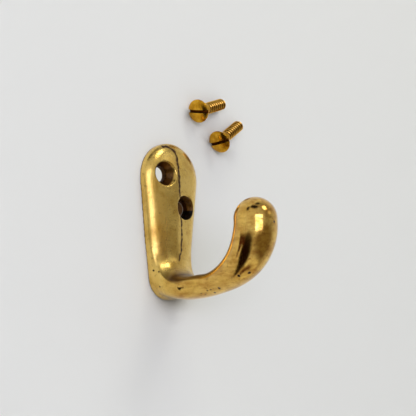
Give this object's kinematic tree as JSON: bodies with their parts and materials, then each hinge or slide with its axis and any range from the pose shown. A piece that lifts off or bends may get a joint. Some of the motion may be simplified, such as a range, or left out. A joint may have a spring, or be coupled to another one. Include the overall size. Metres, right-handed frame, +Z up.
{
  "type": "hat and coat hook",
  "caption": "Cast brass coat hook with a domed pear-shaped plate, staggered countersunk holes and a rising arm that ends in a bulb; its slotted screws lie beside it.",
  "frame": {"origin": "middle line of the plate on its flat back, halfway up between the two screw holes", "axes": "+Z up along the plate, +Y into the wall, +X to the right as seen from the front; the hook reaches out along -Y"},
  "size_m": [0.0481, 0.0481, 0.0752],
  "materials": {
    "polished_brass": "hand-polished yellow brass, lightly tarnished in the hollows",
    "screw_brass": "darker turned brass, dulled"
  },
  "bodies": {
    "root": {"hook_casting": "polished_brass", "upper_screw": "screw_brass", "lower_screw": "screw_brass"}
  },
  "joints": []
}
